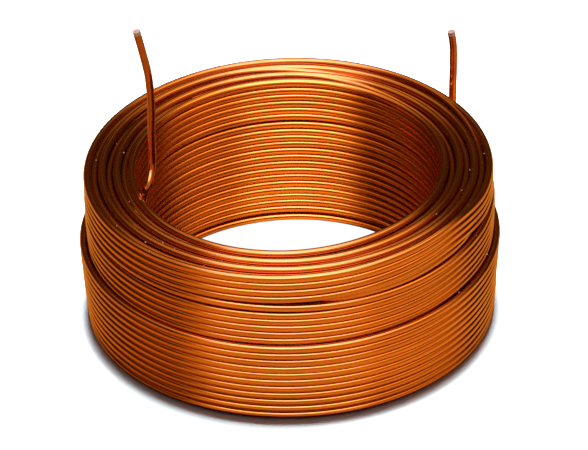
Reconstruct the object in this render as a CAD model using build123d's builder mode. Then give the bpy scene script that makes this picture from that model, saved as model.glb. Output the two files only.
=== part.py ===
from build123d import *
from math import radians, sqrt, tan
import os

# Air core inductor: enamelled round copper wire, wound in nested layers into a flat ring with no former.
# The coil's two wire ends stand up as leads, one inside the ring and one behind it.
# Frame: the origin is on the coil's axis, in the plane that it stands on, and +Z runs up the axis.
# All lengths are in millimetres and all angles in degrees.

# Wire and full layers
wire_diameter = 1.05  # over the enamel of a 1.0 mm copper wire
mandrel_diameter = 40.0  # the round bar that the coil was wound on
full_layers = 7
turns_in_a_layer = 21
layer_slack = 0.04  # radial room that neighbouring layers keep beyond their closest nesting

# Outer wall: three bands of turns, each standing out further than the one above it
upper_turns = 4
middle_turns = 6
lower_turns = 11
turn_gap = 0.02  # room between neighbouring turns of a band
middle_step = 0.17  # how far the middle band stands out from the upper band
lower_step = 0.68  # how far the lower band stands out from the middle band
lower_rise = 0.62  # from the lower band's last turn up to the middle band's first turn
lower_taper = 0.78  # how far the lower band draws in towards the foot of the coil
groove_depth = 0.34  # from a turn's crest down to the groove beside it

# Inner lead: it leaves the inner wall below the rim and rises inside the ring
inner_leave_angle = 201.0  # where the wire comes out of the first layer
inner_climb = 4.6  # how far it climbs along the wall before it turns upwards
inner_rise_angle = 186.5  # where it turns upwards
inner_rise_depth = 4.1  # how far under the rim it turns upwards
inner_lead_clearance = 0.2  # from the wire's side to the inner wall
inner_lead_sway = [(1.36, 3.4), (1.55, 13.3), (0.15, 22.3)]  # inwards, above the rim

# Outer lead: it leaves the top turn of the lower band and rises behind the ring
outer_leave_angle = 14.0
outer_climb = 1.5  # how far it climbs over its turn before it turns upwards
outer_rise_angle = 39.2
outer_lead_clearance = 1.1  # from the wire's side to the middle band
outer_lead_sway = [(-0.05, 8.8)]  # inwards, above the rim

corner_bend = 2.2  # where a lead turns upwards
sway_bend = 20.0
bend_share = 0.45  # the part of a straight run that a bend at its end may take

# Worked out from the sizes above
wire_radius = wire_diameter / 2
mandrel_radius = mandrel_diameter / 2
layer_pitch = wire_diameter * sqrt(3) / 2 + layer_slack
turn_pitch = wire_diameter + turn_gap
height = wire_diameter * turns_in_a_layer
rim_turn_height = height - wire_radius
first_layer_radius = mandrel_radius + wire_radius
upper_radius = first_layer_radius + (full_layers - 1) * layer_pitch
middle_radius = upper_radius + middle_step
lower_radius = middle_radius + lower_step

# The bands stack from both ends: the lower two up from the foot, the upper one down from the rim
lower_top = wire_radius + (lower_turns - 1) * turn_pitch
middle_foot = lower_top + lower_rise
upper_foot = rim_turn_height - (upper_turns - 1) * turn_pitch


def band(turns, radius, foot, taper=0.0):
    """Centres of a band's turns as (radius, height), from its foot up, drawn in by the taper at the foot."""
    last = turns - 1
    return [(radius - taper * (last - k) / last, foot + k * turn_pitch) for k in range(turns)]


def layer_ends():
    """Ridges of the top face, from the rim inwards: every other layer lies half a turn deeper."""
    layers = reversed(range(full_layers - 1))
    return [(first_layer_radius + k * layer_pitch, rim_turn_height if k % 2 else height) for k in layers]


def wall_ridges(turns):
    """Crest of each turn of the outer wall, with the groove between it and the next turn."""
    ridges = []
    for (radius, level), (next_radius, next_level) in zip(turns, turns[1:]):
        ridges.append((radius + wire_radius, level))
        groove_radius = min(radius, next_radius) + wire_radius - groove_depth
        ridges.append((groove_radius, (level + next_level) / 2))
    last_radius, last_level = turns[-1]
    ridges.append((last_radius + wire_radius, last_level))
    return ridges


def bend_radii(points):
    """Bend at each inner point of a route, no wider than its straight runs leave room for."""
    radii = []
    wanted = corner_bend
    for before, corner, after in zip(points, points[1:], points[2:]):
        arriving = corner - before
        leaving = after - corner
        half_turn = radians(arriving.get_angle(leaving)) / 2
        room = bend_share * min(arriving.length, leaving.length) / tan(half_turn)
        radii.append(min(wanted, room))
        wanted = sway_bend
    return radii


def on_ring(radius, angle, level):
    """Point at a radius and angle about the coil's axis."""
    return Vector(radius, 0, level).rotate(Axis.Z, angle)


def lead_route(leave, corner, inwards, sway):
    """Route of a lead: along the turn that it leaves, upwards at the corner, then swaying to its tip."""
    upright = [Vector(corner.X + inwards * inset, corner.Y, height + rise) for inset, rise in sway]
    return [leave, corner, *upright]


outer_turns = [
    *band(lower_turns, lower_radius, wire_radius, lower_taper),
    *band(middle_turns, middle_radius, middle_foot),
    *band(upper_turns, upper_radius, upper_foot),
]
foot_radius = outer_turns[0][0]
section_outline = [
    (mandrel_radius, rim_turn_height),
    (mandrel_radius, 0),
    (foot_radius, 0),
    *wall_ridges(outer_turns),
    (upper_radius, height),
    *layer_ends(),
]

inner_rise_radius = mandrel_radius - wire_radius - inner_lead_clearance
inner_rise_level = height - inner_rise_depth
inner_route = lead_route(
    leave=on_ring(first_layer_radius, inner_leave_angle, inner_rise_level - inner_climb),
    corner=on_ring(inner_rise_radius, inner_rise_angle, inner_rise_level),
    inwards=1,
    sway=inner_lead_sway,
)

outer_rise_radius = middle_radius + wire_diameter + outer_lead_clearance
outer_route = lead_route(
    leave=on_ring(lower_radius, outer_leave_angle, lower_top),
    corner=on_ring(outer_rise_radius, outer_rise_angle, lower_top + outer_climb),
    inwards=-1,
    sway=outer_lead_sway,
)

with BuildPart() as winding:
    # The wound ring: the outline of all its turns, swept once round the axis
    with BuildSketch(Plane.XZ):
        with BuildLine():
            Polyline(*section_outline, close=True)
        make_face()
    revolve(axis=Axis.Z)

    # Each lead is the same wire, drawn along its route out of the ring
    for route in (inner_route, outer_route):
        with BuildLine() as lead_path:
            FilletPolyline(*route, radius=bend_radii(route))
        with BuildSketch(Plane(origin=lead_path.line @ 0, z_dir=lead_path.line % 0)):
            Circle(wire_radius)
        sweep(path=lead_path.line)

winding.part.label = "winding"

os.makedirs("parts", exist_ok=True)
export_step(winding.part, "parts/winding.step")

ring_width = 2 * (lower_radius + wire_radius)
print("winding", ring_width, "across,", height, "tall")
for name, route in (("inner", inner_route), ("outer", outer_route)):
    print(name, "lead ends at", route[-1], "with bends of", bend_radii(route))
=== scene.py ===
# %% [markdown]
# # Air core inductor
# One long enamelled copper wire, wound in nested layers into a flat ring, with both of its ends standing up
# as leads. The solid part is a plain ring with the same bands and the same two leads. This lesson winds the
# real wire round it, turn by turn, so that every groove, ledge and crossing is a place where two turns meet.
# Grooves cut into a ring would be quicker to make, but they would never shift or cross as turns of wire do.

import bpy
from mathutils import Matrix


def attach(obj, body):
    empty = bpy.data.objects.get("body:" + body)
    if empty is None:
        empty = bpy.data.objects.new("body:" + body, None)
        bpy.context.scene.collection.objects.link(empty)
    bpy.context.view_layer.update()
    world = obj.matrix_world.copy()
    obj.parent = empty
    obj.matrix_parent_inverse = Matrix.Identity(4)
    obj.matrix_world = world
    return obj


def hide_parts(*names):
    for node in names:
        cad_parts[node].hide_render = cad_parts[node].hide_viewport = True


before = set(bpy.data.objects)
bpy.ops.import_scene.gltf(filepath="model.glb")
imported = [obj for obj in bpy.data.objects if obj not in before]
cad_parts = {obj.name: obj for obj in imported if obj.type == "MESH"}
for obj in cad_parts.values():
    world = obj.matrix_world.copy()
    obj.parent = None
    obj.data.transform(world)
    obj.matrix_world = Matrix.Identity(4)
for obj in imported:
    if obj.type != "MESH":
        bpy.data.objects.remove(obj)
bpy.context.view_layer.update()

# %% Tools for the lesson
import math
import random
from math import cos, radians, sin

import bmesh
import bpy
from mathutils import Matrix, Vector

MM = 0.001

# %% [markdown]
# ## Values that change around the ring
# A hand-guided winding isn't a perfect ring. Its bands rise, dip and stand out by different amounts as they
# go round. Each such value is written as a few stations: an angle in degrees and the value there. Between the
# stations it runs on smoothly, and it closes on itself after one turn. Angle 0 is on the right, 90 at the
# back, 180 on the left and 270 at the front.


# %% Smooth values round the ring
def around(stations):
    """A smooth closed function of the angle through the given stations."""
    angles = sorted(stations)
    count = len(angles)

    def station(i):
        lap, place = divmod(i, count)
        return angles[place] + 360 * lap, stations[angles[place]]

    def value(angle):
        angle = (angle - angles[0]) % 360 + angles[0]
        i = max(k for k in range(count) if angles[k] <= angle)
        (a0, v0), (a1, v1), (a2, v2), (a3, v3) = (station(i + k) for k in (-1, 0, 1, 2))
        slope_1 = (v2 - v0) / (a2 - a0)
        slope_2 = (v3 - v1) / (a3 - a1)
        width = a2 - a1
        t = (angle - a1) / width
        rest = 1 - t
        start = (1 + 2 * t) * rest * rest * v1 + t * rest * rest * width * slope_1
        return start + t * t * (3 - 2 * t) * v2 - t * t * rest * width * slope_2

    return value


def oval(radius, to_right=0.0, to_back=0.0, wide=0.0, slanted=0.0):
    """A radius that is pushed off centre and drawn out of round by a few tenths of a millimetre."""

    def value(angle):
        a = radians(angle)
        return radius + to_right * cos(a) + to_back * sin(a) + wide * cos(2 * a) + slanted * sin(2 * a)

    return value


def wander(dice, amount):
    """The small random sway of one turn, the same again after each full turn."""
    waves = [(k, dice.uniform(0, math.tau), dice.gauss(0, 1) / k) for k in (1, 2, 3, 5, 8)]

    def value(angle):
        return amount * sum(size * sin(k * radians(angle) + phase) for k, phase, size in waves)

    return value


def lifted(level, share, lift):
    """A height that follows its share of a lift round the ring."""
    return lambda angle: level + share * lift(angle)


# %% [markdown]
# ## The layers
# The wire is 1.04 mm thick over its enamel. Seven full layers lie on each other, each nested in the grooves
# of the layer inside it, so every other layer sits half a turn lower at the rim. An eighth layer covers only
# the lower half of the outer wall: its eleven turns are the band that stands out. A turn is written as two
# values round the ring, its radius and its height, because that is how a winder sees it: how far out the wire
# lies, and on which level.

# %% Sizes of the winding, in millimetres
WIRE = 1.04
FIRST_RADIUS = 20.52
LAYER_PITCH = 0.95
RIM_HEIGHT = 21.55
FOOT_HEIGHT = 0.53
RECESS = 0.54
OUT_OF_ROUND = 0.22
INNER_SWAY = 0.03
OUTER_SWAY = 0.018

dice = random.Random(21)
rim_lift = around({0: -0.08, 90: 0.12, 180: 0.12, 225: 0.05, 270: 0.05, 318: 0.22, 345: 0.05})


def turn(radius, height, sway=OUTER_SWAY):
    """One turn: its radius and its height as functions of the angle, with a little sway of its own."""
    side = wander(dice, sway)
    lift = wander(dice, sway)
    return lambda angle: (radius(angle) + side(angle), height(angle) + lift(angle))


# %% [markdown]
# The first layer is the wall of the hole. Its turns lie close, apart from three wider grooves: under the
# rim's turn, under the sixth and over the last one. Equal steps would look like a screw thread, so the
# levels are counted down from the rim with these three wider steps among them.

# %% First layer
CLOSE = 1.035
UNDER_RIM = 1.16
UNDER_SIXTH = 1.24
OVER_LAST = 1.3

wall = oval(FIRST_RADIUS, wide=-0.05, slanted=OUT_OF_ROUND)
levels = [RIM_HEIGHT]
for drop in [UNDER_RIM] + [CLOSE] * 4 + [UNDER_SIXTH] + [CLOSE] * 13 + [OVER_LAST]:
    levels.append(levels[-1] - drop)
lowest = len(levels) - 1
first_layer = [
    turn(wall, lifted(level, 1 - k / lowest, rim_lift), INNER_SWAY) for k, level in enumerate(levels)
]
print("first layer:", len(first_layer), "turns down to", round(levels[-1], 2))

# %% [markdown]
# The next five layers are hidden apart from their ends, which make the top face: crests where a layer reaches
# the rim and darker recessed stripes where it stops half a turn lower. A recessed layer has one turn less,
# because it starts half a turn lower and ends half a turn higher.

# %% Layers two to six
FULL_TURNS = 21


def middle_layer(number):
    """The turns of one inner layer, from its upper end down."""
    radius = oval(FIRST_RADIUS + number * LAYER_PITCH, wide=-0.03 + 0.02 * number, slanted=OUT_OF_ROUND)
    recessed = number % 2 == 1
    count = FULL_TURNS - 1 if recessed else FULL_TURNS
    top = RIM_HEIGHT - (RECESS if recessed else 0)
    foot = FOOT_HEIGHT * (2 if recessed else 1)
    pitch = (top - foot) / (count - 1)
    return [turn(radius, lifted(top - k * pitch, 1 - k / count, rim_lift), INNER_SWAY) for k in range(count)]


inner_layers = [middle_layer(number) for number in range(1, 6)]
print("inner layers:", [len(layer) for layer in inner_layers], "turns")

# %% [markdown]
# The seventh layer shows above the eighth in two groups. Four turns hang together under the rim. A fifth turn
# leans on them at the left and on the group below at the right, so the deep groove changes sides at the
# front. At the front right the upper turns are pushed up and a dark recess opens under them. All heights are
# counted from the fifth turn, since both groups take their place from it.

# %% Seventh layer
UPPER_TURNS = 4
MIDDLE_TURNS = 5
MIDDLE_PITCH = 1.005
MIDDLE_TAPER = 0.04

upper_wall = oval(26.27, to_right=0.02, to_back=-0.08, wide=0.05, slanted=0.2)
fifth_height = around({
    0: 17.4, 90: 17.35, 200: 17.35, 255: 17.35, 270: 17.25, 290: 17.08, 310: 17.08, 330: 17.33,
})
gap_over_fifth = around({
    0: 1.1, 30: 1.07, 60: 1.05, 100: 1.05, 140: 1.05, 200: 1.05, 230: 1.08, 258: 1.18, 270: 1.32, 285: 1.58,
    300: 1.9, 318: 2.22, 327: 2.12, 335: 1.74, 343: 1.32,
})
gap_under_fifth = around({0: 1.02, 90: 1.1, 180: 1.3, 220: 1.3, 245: 1.27, 270: 1.2, 290: 1.06, 310: 1.02})
lower_stand = around({0: 0.2, 45: 0.3, 90: 0.2, 180: 0.0, 215: 0.0, 250: 0.0, 280: 0.05, 300: 0.15, 338: 0.3})
upper_pitch = around({0: 0.99, 90: 1.02, 200: 1.02, 250: 1.04, 290: 1.04, 320: 1.0})

seventh_layer = [
    turn(upper_wall, lambda a, k=k: fifth_height(a) + gap_over_fifth(a) + k * upper_pitch(a))
    for k in reversed(range(UPPER_TURNS))
]
seventh_layer.append(turn(lambda a: upper_wall(a) + lower_stand(a), fifth_height))
seventh_layer += [
    turn(
        lambda a, k=k: upper_wall(a) + lower_stand(a) - MIDDLE_TAPER * k,
        lambda a, k=k: fifth_height(a) - gap_under_fifth(a) - k * MIDDLE_PITCH,
    )
    for k in range(MIDDLE_TURNS)
]
print("seventh layer:", len(seventh_layer), "turns that show")

# %% [markdown]
# The eighth layer draws in towards the foot of the coil. The rest of the seventh lies hidden under it, so
# both are made by one function: a covered turn is the turn over it, set inwards and half a turn lower. Only
# the lowest covered turn is level with the one over it, because both stand on the table.

# %% Eighth layer
LAST_TURNS = 11
LAST_TOP = 11.36
LAST_PITCH = 1.081
LAST_TAPER = 0.76
COVERED_INSET = 0.88
COVERED_DROP = 0.54

last_wall = oval(27.07, to_back=-0.08, wide=0.13)
last_lift = around({0: 0.2, 90: 0.0, 180: 0.0, 225: 0.0, 250: -0.08, 280: -0.08, 318: 0.03})


def last_turn(k, inset=0.0, lower=0.0):
    """The k-th turn of the eighth layer from its top, or the one that lies hidden under it."""
    height = lifted(LAST_TOP - k * LAST_PITCH - lower, 1 - k / LAST_TURNS, last_lift)
    return turn(
        lambda a: last_wall(a) - LAST_TAPER * k / (LAST_TURNS - 1) - inset,
        lambda a: max(height(a), WIRE / 2),
    )


covered_turns = [last_turn(k, COVERED_INSET, COVERED_DROP) for k in range(LAST_TURNS - 1)]
covered_turns.append(last_turn(LAST_TURNS - 1, COVERED_INSET))
eighth_layer = [last_turn(k) for k in reversed(range(LAST_TURNS))]
print("outer wall:", len(seventh_layer), "turns over", len(eighth_layer))

# %% [markdown]
# ## Winding the wire
# A turn doesn't climb evenly. It lies flat most of the way round, and then steps over to its neighbour in a
# short stretch. All the turns of a layer step over in the same place, so they stay side by side. The route of
# a layer is made that way: along one turn, across to the next, and so on, with a point every two degrees.

# %% Route over a chain of turns
STEP_OVER = 18
ROUNDING = 0.001


def at(angle, radius, height):
    """The place at a radius and an angle about the coil's axis."""
    return Vector((radius * cos(radians(angle)), radius * sin(radians(angle)), height))


def eased(share):
    """A share that starts and ends softly."""
    return share * (share * (3 - 2 * share))


def wound(turns, leave, step=2.0, start=None, end=None, change=None, over=STEP_OVER):
    """Points of the wire along these turns in order.

    It leaves the first one at the angle `leave`, and each of the others one round later. Where it changes to
    the next layer, after the turn numbered `change`, it goes a little earlier, so that it is there before the
    turn beside it steps down. A step from one turn to the next takes `over` degrees.
    """
    leaves = [leave + 360 * k - (over if k == change else 0) for k in range(len(turns))]
    angle = leaves[0] - 360 if start is None else start
    last = leaves[-1] if end is None else end
    points = []
    k = 0
    while angle <= last + ROUNDING:
        while k + 1 < len(turns) and angle >= leaves[k] + over:
            k += 1
        radius, height = turns[k](angle)
        share = (angle - leaves[k]) / over
        if share > 0 and k + 1 < len(turns):
            share = eased(share)
            next_radius, next_height = turns[k + 1](angle)
            radius += share * (next_radius - radius)
            height += share * (next_height - height)
        points.append(at(angle, radius, height))
        angle += step
    return points


# %% [markdown]
# The wire itself could be a circle that is moved and turned along its route, point by point. A curve with a
# round bevel does the same by itself, and is then turned into a mesh. Turns that show get a point every two
# degrees and a twelve-sided section, and buried turns get a plainer one. The leads aren't turns, so each of
# them is a soft line through a few given places.


# %% From route to wire
def smooth_run(corners, samples=14):
    """Points of a soft line through a few places, for the leads."""
    ends = [corners[0] * 2 - corners[1]] + corners + [corners[-1] * 2 - corners[-2]]
    points = []
    for a, b, c, d in zip(ends, ends[1:], ends[2:], ends[3:]):
        for k in range(samples):
            t = k / samples
            bend = 2 * a - 5 * b + 4 * c - d
            twist = 3 * b - a - 3 * c + d
            points.append(0.5 * (2 * b + (c - a) * t + bend * t * t + twist * t**3))
    return points + [corners[-1]]


def wire_piece(name, routes, sides=12, thickness=WIRE):
    """A mesh of the wire along each route, in metres."""
    curve = bpy.data.curves.new(name, "CURVE")
    curve.dimensions = "3D"
    curve.bevel_depth = thickness / 2 * MM
    curve.bevel_resolution = (sides - 4) // 2
    curve.use_fill_caps = True
    curve.twist_mode = "MINIMUM"
    for route in routes:
        spline = curve.splines.new("POLY")
        spline.points.add(len(route) - 1)
        for point, place in zip(spline.points, route):
            point.co = (*(place * MM), 1)
    carrier = bpy.data.objects.new(name + "_curve", curve)
    mesh = bpy.data.meshes.new_from_object(carrier)
    bpy.data.objects.remove(carrier)
    bpy.data.curves.remove(curve)
    mesh.name = name
    mesh.shade_smooth()
    piece = bpy.data.objects.new(name, mesh)
    bpy.context.collection.objects.link(piece)
    print(name, "has", sum(len(p.vertices) - 2 for p in mesh.polygons), "triangles")
    return piece


# %% [markdown]
# The inner lead is the start of the wire. It comes out of the wall at the left, well below the rim, climbs
# along it, turns upwards and sways a little on its way to the tip. Over its last part it stays in one plane,
# so only its place to the right and its height are listed there.

# %% Inner lead
INNER_LEAD_Y = -2.16
inner_sway = [(-17.66, 28.3), (-17.54, 32.8), (-17.76, 37.2), (-18.36, 40.7), (-19.1, 44.2)]
inner_lead = smooth_run([
    at(205, 20.5, 13.4),
    at(200.5, 20.1, 14.8),
    at(196.5, 19.75, 16.6),
    Vector((-19.0, -4.55, 18.7)),
    Vector((-18.75, -4.25, 20.4)),
    Vector((-18.2, -3.75, 21.9)),
    Vector((-17.8, -2.5, 23.4)),
    Vector((-17.66, -2.1, 24.9)),
    *(Vector((x, INNER_LEAD_Y, height)) for x, height in inner_sway),
])
print("inner lead:", len(inner_lead), "points")

# %% [markdown]
# The rim's turn of the first layer begins between the first two layers and rises to its place in a long
# slant, so that no cut end shows on the top face. At the foot the layer runs on into the second one. Of the
# layers that follow, only three turns at the rim and three at the foot can show, and two helpers pick them.

# %% First layer with the inner lead
ENDS = 3
TUCK_START = 150
TUCK_LENGTH = 60
TUCK_IN = 0.8
TUCK_UNDER = 1.1
FIRST_LEAVE = 200


def tucked_in(angle):
    """The start of the first turn: it rises out from between the first two layers in a long slant."""
    radius, height = first_layer[0](angle)
    hidden = 1 - eased(min(max((angle - TUCK_START) / TUCK_LENGTH, 0), 1))
    return radius + TUCK_IN * hidden, height - TUCK_UNDER * hidden


def up_to_rim(layer):
    """The top turns of a layer, upwards."""
    return layer[:ENDS][::-1]


def up_from_foot(layer):
    """The lowest turns of a layer, upwards."""
    return layer[-ENDS:][::-1]


second, third, fourth, fifth, sixth = inner_layers
chain = [tucked_in] + first_layer + up_from_foot(second)
inner_wall = wire_piece("first_layer", [wound(chain, FIRST_LEAVE, start=TUCK_START), inner_lead])

# %% [markdown]
# Between the second and the seventh layer only the ends of the layers show. At the rim the wire comes up in
# one layer and goes down in the next, so the pairs are wound as one chain. The same happens at the foot with
# the other pairs. Each step at the rim lies at the back and takes 50 degrees, so the wire crosses gently.

# %% Layer ends at the rim and at the foot
RIM_CHANGE = 50
rim_chains = [(90, up_to_rim(second) + third[:ENDS]), (110, up_to_rim(fourth) + fifth[:ENDS])]
foot_chains = [(80, third[-ENDS:] + up_from_foot(fourth)), (120, fifth[-ENDS:] + up_from_foot(sixth))]
end_routes = [wound(chain, leave, change=ENDS - 1, over=RIM_CHANGE) for leave, chain in rim_chains]
end_routes += [wound(chain, leave) for leave, chain in foot_chains]
layer_ends = wire_piece("layer_ends", end_routes)

# %% [markdown]
# The turns between those ends are buried. They are wound all the same, so that no gap between two visible
# turns looks into an empty coil, but with a point every four degrees and a six-sided section.

# %% Buried turns
BURIED_STEP = 4.0
hidden_routes = [wound(layer[ENDS:-ENDS], leave=150, step=BURIED_STEP) for layer in inner_layers]
hidden_routes.append(wound(covered_turns[:-ENDS], leave=60, step=BURIED_STEP))
buried = wire_piece("buried_turns", hidden_routes, sides=6)

# %% [markdown]
# The outer wall is one chain: it comes up to the rim in the sixth layer and goes down the seventh until that
# is covered. Between the fourth and the fifth turn, a stray turn of the layer beneath comes up for a short
# way at the front right and dives again, which pushes the upper turns up there. It is a route of its own,
# given by how far it stands out from its layer and by its height.

# %% Outer wall
WALL_CHANGE = 44
STRAY_START = 262
STRAY_END = 350
STRAY_STEP = 2
stray_stand = around({180: 0.0, 272: 0.0, 286: 0.75, 300: 0.95, 318: 0.9, 330: 0.62, 342: 0.14, 352: 0.0})
stray_height = around({180: 17.9, 270: 17.95, 290: 18.05, 305: 18.2, 318: 18.42, 345: 18.2})
stray = [
    at(a, upper_wall(a) - LAYER_PITCH + stray_stand(a), stray_height(a))
    for a in range(STRAY_START, STRAY_END + 1, STRAY_STEP)
]
chain = up_to_rim(sixth) + seventh_layer + covered_turns[:1]
wall_route = wound(chain, leave=50, change=ENDS - 1, over=WALL_CHANGE)
outer_turns = wire_piece("outer_layer", [wall_route, stray])

# %% [markdown]
# The last layer is wound from the foot up. Its top turn ends at the right, where the wire lifts off the
# band, runs on behind the coil, bends upwards and stands up as the outer lead. Lead and layer are one route,
# as on the real coil, so there is no seam between them.

# %% Last layer with the outer lead
LEAD_LEAVE = 374
OUTER_LEAD_Y = 18.03
outer_sway = [(22.1, 16.3), (22.12, 21.0), (22.24, 25.6), (22.22, 28.6), (21.95, 30.7)]
chain = covered_turns[-ENDS:] + eighth_layer
last_route = wound(chain, leave=60, change=ENDS - 1, end=LEAD_LEAVE + 360 * (len(chain) - 2))
outer_lead = smooth_run([
    last_route[-1],
    at(21, 27.25, 11.6),
    at(28, 27.65, 11.95),
    at(34.5, 28.15, 12.5),
    at(38.4, 28.45, 13.9),
    *(Vector((x, OUTER_LEAD_Y, height)) for x, height in outer_sway),
])
last_turns = wire_piece("last_layer", [last_route + outer_lead[1:]])

# %% [markdown]
# Each lead has been cut, and its very end is bare and pale. A second material on the last ring of the wire
# would end in a hard zigzag, so the bare end is a short sleeve of its own, a hair thicker than the wire.

# %% Bare ends of the leads
SLEEVE_PLACES = (0.5, 0.35, 0.15, -0.02)
SLEEVE_EXTRA = 0.02


def sleeve(lead):
    """A short straight route over the last half millimetre of a lead."""
    back = (lead[-6] - lead[-1]).normalized()
    return [lead[-1] + back * distance for distance in SLEEVE_PLACES]


bare_ends = wire_piece("bare_ends", [sleeve(inner_lead), sleeve(outer_lead)], thickness=WIRE + SLEEVE_EXTRA)

# %% [markdown]
# A few grains of dust lie on the coil, most of them on the top face. Each is a tiny ball with its corners
# pushed about at random, which is enough for a lump that is a pixel or two wide.

# %% Dust
RIM_DUST_HEIGHT = 22.1
DUST_SIZES = (0.05, 0.12)
DUST_CORNERS = (0.7, 1.3)
on_the_rim = [
    (166, 23.2), (171, 21.8), (202, 22.3), (224, 25.7), (228, 24.3), (228, 26.8), (233, 24.5), (245, 26.0),
    (249, 24.3), (176, 25.2), (212, 26.2), (3, 25.7), (354, 23.8), (326, 22.9), (342, 23.6),
]
on_the_wall = [(333.9, 26.9, 18.06), (338.3, 27.55, 13.99), (323, 27.2, 12.3)]
grains = [at(angle, radius, RIM_DUST_HEIGHT) for angle, radius in on_the_rim]
grains += [at(*spot) for spot in on_the_wall]

bm = bmesh.new()
for spot in grains:
    size = dice.uniform(*DUST_SIZES) * MM
    ball = bmesh.ops.create_icosphere(bm, subdivisions=2, radius=size)
    for vert in ball["verts"]:
        vert.co *= dice.uniform(*DUST_CORNERS)
    bmesh.ops.translate(bm, verts=ball["verts"], vec=spot * MM)
dust_mesh = bpy.data.meshes.new("dust")
bm.to_mesh(dust_mesh)
bm.free()
dust = bpy.data.objects.new("dust", dust_mesh)
bpy.context.collection.objects.link(dust)
print("grains of dust:", len(grains))

# %% [markdown]
# On the real object all of this is one wire, so every piece belongs to the same body and stands in for the
# same solid. One mesh would do as well, but several smaller ones are lighter to handle and easier to look
# at one by one. The first five share one finish, and the last two have their own.

# %% Pieces and their body
pieces = [inner_wall, layer_ends, buried, outer_turns, last_turns]
extras = [bare_ends, dust]
for piece in pieces + extras:
    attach(piece, "root")
    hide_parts("winding")
print("pieces:", [piece.name for piece in pieces + extras])

# %% [markdown]
# ## Materials
# Each material is a small tree of nodes, and a handful of helpers keep the trees readable: one adds a node,
# one feeds a socket, and the others make what the finishes here consist of: a share that follows a value, a
# mix of two colours, and a colour that drifts between two tones. No texture image is used, because a pattern
# that follows the place in the coil needs no unwrapping.


# %% Tools for materials
def new_material(name):
    """A material with its node tree and its main shader."""
    material = bpy.data.materials.new(name)
    material.use_nodes = True
    return material, material.node_tree, material.node_tree.nodes["Principled BSDF"]


def new_node(tree, kind, **settings):
    """A node of a kind, with its settings."""
    node = tree.nodes.new("ShaderNode" + kind)
    for name, setting in settings.items():
        setattr(node, name, setting)
    return node


def feed(tree, socket, source):
    """Give a socket its source: the output of another node, a colour or a number."""
    if isinstance(source, bpy.types.NodeSocket):
        tree.links.new(source, socket)
    elif socket.type == "RGBA":
        socket.default_value = (*source, 1)
    else:
        socket.default_value = source


def share_between(tree, value, low, high, start=0.0, end=1.0, course="LINEAR"):
    """A number that goes from `start` to `end` while the value goes from `low` to `high`."""
    node = new_node(tree, "MapRange", interpolation_type=course)
    sources = {"Value": value, "From Min": low, "From Max": high, "To Min": start, "To Max": end}
    for name, source in sources.items():
        feed(tree, node.inputs[name], source)
    return node.outputs["Result"]


def mixed(tree, share, first, second, blend="MIX"):
    """The first colour, turned into the second one or multiplied by it, as far as the share says."""
    node = new_node(tree, "Mix", data_type="RGBA", blend_type=blend)
    for name, source in (("Factor", share), ("A", first), ("B", second)):
        feed(tree, node.inputs[name], source)
    return node.outputs["Result"]


def drifting(tree, place, scale, detail, tones, reach=(0.0, 1.0)):
    """A colour that drifts between two tones from place to place."""
    noise = new_node(tree, "TexNoise")
    for name, source in (("Vector", place), ("Scale", scale), ("Detail", detail)):
        feed(tree, noise.inputs[name], source)
    ramp = new_node(tree, "ValToRGB")
    for stop, position, tone in zip(ramp.color_ramp.elements, reach, tones):
        stop.position = position
        stop.color = (*tone, 1)
    feed(tree, ramp.inputs["Fac"], noise.outputs["Fac"])
    return ramp.outputs["Color"]


# %% [markdown]
# ## The enamelled copper
# Bright drawn copper under a clear amber enamel. The metal gives the orange, and it deepens to red where the
# light bounces between two turns, so the grooves need no painted shading. The enamel is a clear coat, so each
# turn also has a thin pale glint. The colour of the drawn wire drifts slowly along it and from turn to turn:
# the pattern is stretched along the turns by a scale that is much finer upwards than sideways.

# %% Colour of the drawn wire
DARK_COPPER = (0.52, 0.135, 0.004)
BRIGHT_COPPER = (0.68, 0.19, 0.007)
DRIFT_SCALE = (60, 60, 900)

copper, copper_tree, shader = new_material("enamelled_copper")
for name, value in (("Metallic", 1.0), ("Coat Weight", 1.0), ("Coat IOR", 1.55)):
    shader.inputs[name].default_value = value

place = new_node(copper_tree, "TexCoord").outputs["Object"]
stretch = new_node(copper_tree, "Mapping")
feed(copper_tree, stretch.inputs["Vector"], place)
feed(copper_tree, stretch.inputs["Scale"], DRIFT_SCALE)
drawn = drifting(
    copper_tree, stretch.outputs["Vector"], scale=1.0, detail=3.0,
    tones=(DARK_COPPER, BRIGHT_COPPER), reach=(0.3, 0.7),
)

# %% [markdown]
# Over the leads the copper colour is made darker and redder: this is painted shade, for the darker look that
# the upright leads have in this light. They are the only part of the wire above the rim, so the height finds
# them.

# %% Painted shade on the leads
# Painted shade: the colour of the leads is multiplied by this darker, redder tint.
LEAD_PAINTED_SHADE = (0.62, 0.36, 0.5)
LEAD_SHADE_START = 22.6 * MM
LEAD_SHADE_END = 24.2 * MM
axes = new_node(copper_tree, "SeparateXYZ")
feed(copper_tree, axes.inputs["Vector"], place)
above_rim = share_between(copper_tree, axes.outputs["Z"], LEAD_SHADE_START, LEAD_SHADE_END)
with_lead_shade = mixed(copper_tree, above_rim, drawn, LEAD_PAINTED_SHADE, "MULTIPLY")

# %% [markdown]
# The wall of the hole is a little more satin than the rest of the wire. Its colour also carries painted light
# and shade: it is made brighter towards the back and darker at its sides. The distance from the axis finds
# the wall, and the place towards the back tells how much painted light it gets there.

# %% Wall of the hole, satin, with painted light and shade
HOLE_WALL_INNER = 20.3 * MM
HOLE_WALL_OUTER = 20.8 * MM
# Painted shade at the sides of the hole and painted light towards its back.
HOLE_SIDE_PAINTED_SHADE = (0.81, 0.81, 1.05)
HOLE_BACK_PAINTED_LIGHT = (1.38, 1.38, 0.9)
BACK_START = 10 * MM
BACK_END = 17 * MM

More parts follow.
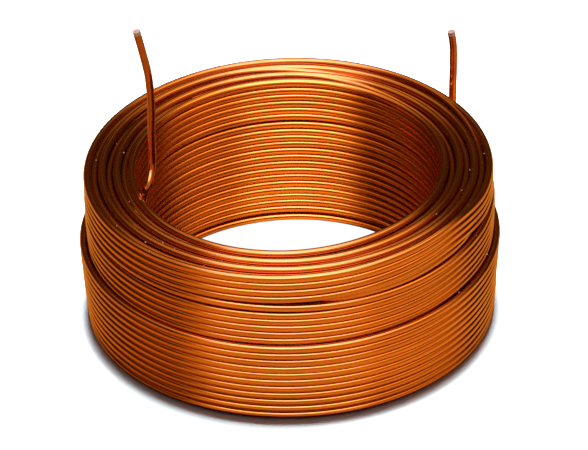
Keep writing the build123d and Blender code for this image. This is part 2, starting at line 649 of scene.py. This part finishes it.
flat = new_node(copper_tree, "VectorMath", operation="MULTIPLY")
feed(copper_tree, flat.inputs[0], place)
feed(copper_tree, flat.inputs[1], (1, 1, 0))
length = new_node(copper_tree, "VectorMath", operation="LENGTH")
feed(copper_tree, length.inputs[0], flat.outputs["Vector"])
from_axis = length.outputs["Value"]

towards_back = share_between(copper_tree, axes.outputs["Y"], BACK_START, BACK_END)
hole_painted_light = mixed(copper_tree, towards_back, HOLE_SIDE_PAINTED_SHADE, HOLE_BACK_PAINTED_LIGHT)
hole_wall_share = share_between(copper_tree, from_axis, HOLE_WALL_INNER, HOLE_WALL_OUTER, 1.0, 0.0)
finished = mixed(copper_tree, hole_wall_share, with_lead_shade, hole_painted_light, "MULTIPLY")
feed(copper_tree, shader.inputs["Base Color"], finished)
for name, at_hole_wall, bright in (("Roughness", 0.2, 0.17), ("Coat Roughness", 0.12, 0.08)):
    polish = share_between(copper_tree, from_axis, HOLE_WALL_INNER, HOLE_WALL_OUTER, at_hole_wall, bright)
    feed(copper_tree, shader.inputs[name], polish)
for piece in pieces:
    piece.data.materials.append(copper)
print("enamelled copper:", len(copper_tree.nodes), "nodes")

# %% [markdown]
# The bare ends are dull tinned metal, and the dust is matt and pale. Both have a fine grain.


# %% Bare ends and dust
def grainy(name, tones, metallic, roughness, grain):
    """A dull finish whose colour drifts between two tones in grains of the given size."""
    material, tree, face = new_material(name)
    where = new_node(tree, "TexCoord").outputs["Object"]
    feed(tree, face.inputs["Metallic"], metallic)
    feed(tree, face.inputs["Roughness"], roughness)
    feed(tree, face.inputs["Base Color"], drifting(tree, where, 1 / grain, 2.0, tones))
    return material


tinned = grainy("bare_end", ((0.5, 0.26, 0.17), (0.85, 0.6, 0.5)), 0.2, 0.6, 0.3 * MM)
dusty = grainy("dust", ((0.45, 0.2, 0.12), (0.9, 0.62, 0.5)), 0.0, 0.9, 0.08 * MM)
bare_ends.data.materials.append(tinned)
dust.data.materials.append(dusty)

# %% [markdown]
# ## Floor, light and camera
# The floor is a sheet of paper that is exposed to white and takes the tight shadow at the foot of the coil.
# It is made in two parts, a wide sheet with a round hole and a disc inside the coil, because the two are lit
# differently: the sheet shows the coil's shadow, and the paper seen through the coil is plain white. From
# here on, places and sizes are in metres.

# %% Floor
HOLE_EDGE = 21 * MM
SHEET_EDGE = 3.0
FLOOR_LEVEL = -0.00005
FLOOR_SEGMENTS = 96


def floor_piece(name, inner, outer):
    """A round sheet of paper on the table, with a round hole where the inner radius isn't nought."""
    bm = bmesh.new()
    if inner:
        for radius in (inner, outer):
            bmesh.ops.create_circle(bm, segments=FLOOR_SEGMENTS, radius=radius)
        bmesh.ops.bridge_loops(bm, edges=bm.edges[:])
    else:
        bmesh.ops.create_circle(bm, segments=FLOOR_SEGMENTS, radius=outer, cap_ends=True)
    bmesh.ops.recalc_face_normals(bm, faces=bm.faces[:])
    if bm.faces[:][0].normal.z < 0:
        bmesh.ops.reverse_faces(bm, faces=bm.faces[:])
    bmesh.ops.translate(bm, verts=bm.verts[:], vec=(0, 0, FLOOR_LEVEL))
    mesh = bpy.data.meshes.new(name)
    bm.to_mesh(mesh)
    bm.free()
    piece = bpy.data.objects.new(name, mesh)
    bpy.context.collection.objects.link(piece)
    return piece


sheet = floor_piece("paper_sheet", HOLE_EDGE, SHEET_EDGE)
disc = floor_piece("paper_in_the_hole", 0, HOLE_EDGE)
disc.visible_glossy = False
print("floor:", [piece.name for piece in (sheet, disc)])

# %% [markdown]
# The sheet answers three kinds of light ray in three ways. To the camera it is white paper, a shade cooler
# than the light, so that the warm light off the copper leaves its shadow grey. To the mirror image on the
# copper it is a warm tabletop with painted light on it, brighter towards the front right. For all else it is
# pale paper.

# %% Paper
EXPOSED_PAPER = (2.07, 2.46, 2.6)
PALE_PAPER = (0.9, 0.9, 0.9)
WARM_TABLE = (0.68, 0.29, 0.04)
# Painted light: in the mirror image the table grows brighter towards the front right.
TABLE_PAINTED_LIGHT_AHEAD = (0.96, 0.54, 0.08)
FRONT_RIGHT = (0.45, -0.89, 0)
AHEAD_START = 14 * MM
AHEAD_END = 27 * MM

paper, paper_tree, _ = new_material("paper")
ahead = new_node(paper_tree, "VectorMath", operation="DOT_PRODUCT")
feed(paper_tree, ahead.inputs[0], new_node(paper_tree, "TexCoord").outputs["Object"])
feed(paper_tree, ahead.inputs[1], FRONT_RIGHT)
painted_light_share = share_between(paper_tree, ahead.outputs["Value"], AHEAD_START, AHEAD_END)
rays = new_node(paper_tree, "LightPath").outputs
table = mixed(paper_tree, painted_light_share, WARM_TABLE, TABLE_PAINTED_LIGHT_AHEAD)
mirrored = mixed(paper_tree, rays["Is Glossy Ray"], PALE_PAPER, table)
matt = new_node(paper_tree, "BsdfDiffuse")
feed(paper_tree, matt.inputs["Color"], mixed(paper_tree, rays["Is Camera Ray"], mirrored, EXPOSED_PAPER))
feed(paper_tree, paper_tree.nodes["Material Output"].inputs["Surface"], matt.outputs["BSDF"])

# %% [markdown]
# The disc is plain white to the camera, so its colour there is its own light. The copper doesn't mirror it:
# through the hole it sees what lies below the horizon of the room, further down.


# %% Paper in the hole
def either(tree, share, first, second):
    """One shader or another, as the share says."""
    node = new_node(tree, "MixShader")
    for socket, source in zip(node.inputs, (share, first, second)):
        feed(tree, socket, source)
    return node.outputs["Shader"]


lit_paper, lit_tree, _ = new_material("lit_paper")
surface = either(
    lit_tree,
    new_node(lit_tree, "LightPath").outputs["Is Camera Ray"],
    new_node(lit_tree, "BsdfDiffuse").outputs["BSDF"],
    new_node(lit_tree, "Emission").outputs["Emission"],
)
feed(lit_tree, lit_tree.nodes["Material Output"].inputs["Surface"], surface)
for floor, finish in ((sheet, paper), (disc, lit_paper)):
    floor.data.materials.append(finish)

# %% [markdown]
# One softbox hangs nearly straight over the coil, a little towards the back, and casts the short soft shadow
# in front of it. It is kept out of the mirror image, because the copper gets its look from the room and the
# table, and a lamp would add a second glint to every turn.

# %% Lamp
LAMP_AZIMUTH = radians(82)
LAMP_BACK = 0.09
LAMP_HEIGHT = 0.99
LAMP_SIDE = 0.22
LAMP_POWER = 10.6
LAMP_TARGET = Vector((0, 0, 0.011))

softbox = bpy.data.lights.new("key_softbox", "AREA")
softbox.shape = "RECTANGLE"
softbox.size = softbox.size_y = LAMP_SIDE
softbox.energy = LAMP_POWER
key = bpy.data.objects.new("key_softbox", softbox)
key.location = (LAMP_BACK * cos(LAMP_AZIMUTH), LAMP_BACK * sin(LAMP_AZIMUTH), LAMP_HEIGHT)
key.rotation_euler = (LAMP_TARGET - key.location).to_track_quat("-Z", "Y").to_euler()
key.visible_glossy = False
bpy.context.collection.objects.link(key)
print("lamp at", [round(value, 3) for value in key.location])

# %% [markdown]
# Polished wire looks like whatever stands round it, so the room is the real light of this picture. Boards
# could stand round the coil as meshes. Here the room's colour simply depends on the direction, which gives
# soft edges and can be read as a list. Panels go once round it, from the left over the front and the right
# to the back, in three tiers: below the horizon, at eye level and high up. They are bright from the front
# left to the right, and dim and brownish behind the coil, so the top face turns brown at its sides.

# %% Direction in the room
world = bpy.data.worlds.new("studio")
bpy.context.scene.world = world
world.use_nodes = True
room = world.node_tree
towards = new_node(room, "SeparateXYZ")
feed(room, towards.inputs["Vector"], new_node(room, "TexCoord").outputs["Generated"])
azimuth = new_node(room, "Math", operation="ARCTAN2")
feed(room, azimuth.inputs[0], towards.outputs["Y"])
feed(room, azimuth.inputs[1], towards.outputs["X"])
lap = share_between(room, azimuth.outputs["Value"], -math.pi, math.pi)
upwards = towards.outputs["Z"]


def panels(stations):
    """A colour that changes with the azimuth, from -180 to 180 degrees."""
    ramp = new_node(room, "ValToRGB")
    stops = ramp.color_ramp.elements
    for _ in stations[2:]:
        stops.new(0.5)
    for stop, (angle, tone) in zip(stops, stations):
        stop.position = (angle + 180) / 360
        stop.color = (*tone, 1)
    feed(room, ramp.inputs["Fac"], lap)
    return ramp.outputs["Color"]


# %% Panels at eye level
DIM = (0.078, 0.038, 0.012)
SIDE = (0.07, 0.033, 0.01)
RIGHT = (0.6, 0.3, 0.04)
FRONT = (0.68, 0.39, 0.06)
FRONT_SIDES = (0.95, 0.54, 0.08)
low_panels = panels([
    (-180, SIDE), (-150, SIDE), (-136, FRONT_SIDES), (-118, FRONT_SIDES), (-106, FRONT), (-84, FRONT),
    (-70, FRONT_SIDES), (-52, FRONT_SIDES), (-42, RIGHT), (6, RIGHT), (18, SIDE), (46, SIDE), (58, DIM),
    (122, DIM), (134, SIDE),
])

# %% [markdown]
# High up the panels are much brighter and whiter. They make the thin glint along the upper side of each
# turn, and a narrow panel high at the back lights the back of the top face. A bright ceiling closes the room.

# %% Panels high up, and the ceiling
BACK_TOP = (3.0, 2.2, 0.8)
SIDE_TOP = (0.9, 0.57, 0.18)
SIDE_TOP_LOW = (0.5, 0.3, 0.1)
RIGHT_TOP = (2.5, 2.1, 0.9)
FRONT_TOP = (3.7, 4.4, 4.4)
PALE_TOP = (4.7, 5.7, 7.8)
CEILING = (3.5, 3.8, 6.0)
HIGH_RANGE = (0.58, 0.84)
CEILING_RANGE = (0.88, 0.96)
high_panels = panels([
    (-180, SIDE_TOP), (-150, SIDE_TOP), (-137, FRONT_TOP), (-116, FRONT_TOP), (-108, PALE_TOP),
    (-80, PALE_TOP), (-72, FRONT_TOP), (-50, FRONT_TOP), (-38, RIGHT_TOP), (16, RIGHT_TOP), (34, SIDE_TOP),
    (46, SIDE_TOP), (54, SIDE_TOP_LOW), (71, SIDE_TOP_LOW), (82, BACK_TOP), (98, BACK_TOP),
    (107, SIDE_TOP_LOW), (134, SIDE_TOP),
])
high_share = share_between(room, upwards, *HIGH_RANGE, course="SMOOTHSTEP")
ceiling_share = share_between(room, upwards, *CEILING_RANGE, course="SMOOTHSTEP")
whiter = mixed(room, high_share, low_panels, high_panels)
with_ceiling = mixed(room, ceiling_share, whiter, CEILING)

# %% [markdown]
# Below the horizon only the wall of the hole sees the room, because the sheet hides it from all the rest. It
# is warm and bright there ahead of the coil, which lights the back of the hole, and nearly dark behind it.

# %% Panels below the horizon
UNDER = (0.015, 0.008, 0.003)
UNDER_FRONT = (1.15, 0.66, 0.11)
UNDER_RIGHT = (0.62, 0.31, 0.045)
UNDER_RANGE = (-0.06, 0.0)
under_panels = panels([
    (-180, UNDER), (-152, UNDER), (-128, UNDER_FRONT), (-60, UNDER_FRONT), (-46, UNDER_RIGHT),
    (-4, UNDER_RIGHT), (12, UNDER), (170, UNDER),
])
under_share = share_between(room, upwards, *UNDER_RANGE, start=1.0, end=0.0)
seen_room = mixed(room, under_share, with_ceiling, under_panels)

# %% [markdown]
# Only what mirrors the room sees it. Everything else gets a faint even fill, and so does a ray that has come
# by way of the paper, so that the panels can be as bright as the glints need without whitening the shadow.

# %% Room and fill
FILL = 0.04
glow = room.nodes["Background"]
feed(room, glow.inputs["Color"], seen_room)
fill = new_node(room, "Background")
feed(room, fill.inputs["Strength"], FILL)
path = new_node(room, "LightPath").outputs
straight = new_node(room, "Math", operation="GREATER_THAN")
feed(room, straight.inputs[0], path["Is Glossy Ray"])
feed(room, straight.inputs[1], path["Diffuse Depth"])
background = either(room, straight.outputs["Value"], fill.outputs["Background"], glow.outputs["Background"])
feed(room, room.nodes["World Output"].inputs["Surface"], background)
print("room:", len(room.nodes), "nodes")

# %% [markdown]
# The photo looks down at the coil at about 33.5 degrees from far away, and it is turned a little in its
# frame. The camera stands straight in front of the coil, so its place follows from the elevation and the
# distance alone.

# %% Camera
ELEVATION = radians(33.54)
ROLL = radians(-1.22)
DISTANCE = 0.756
LOOK_AT = Vector((0.59, 0, 12.43)) * MM
SENSOR_WIDTH = 36
FOCAL_LENGTH = 351.6
FAR_ENOUGH = 20

away = Vector((0, -cos(ELEVATION), sin(ELEVATION)))
level = Vector((1, 0, 0))
steep = away.cross(level)
right = cos(ROLL) * level + sin(ROLL) * steep
upright = cos(ROLL) * steep - sin(ROLL) * level
turned = Matrix((right, upright, away)).transposed().to_4x4()

lens = bpy.data.cameras.new("camera")
lens.sensor_width = SENSOR_WIDTH
lens.lens = FOCAL_LENGTH
lens.clip_end = FAR_ENOUGH
camera = bpy.data.objects.new("camera", lens)
bpy.context.collection.objects.link(camera)
camera.matrix_world = Matrix.Translation(LOOK_AT + away * DISTANCE) @ turned
bpy.context.scene.camera = camera
bpy.context.scene.view_settings.view_transform = "Standard"
print("camera at", [round(value, 3) for value in camera.matrix_world.translation])
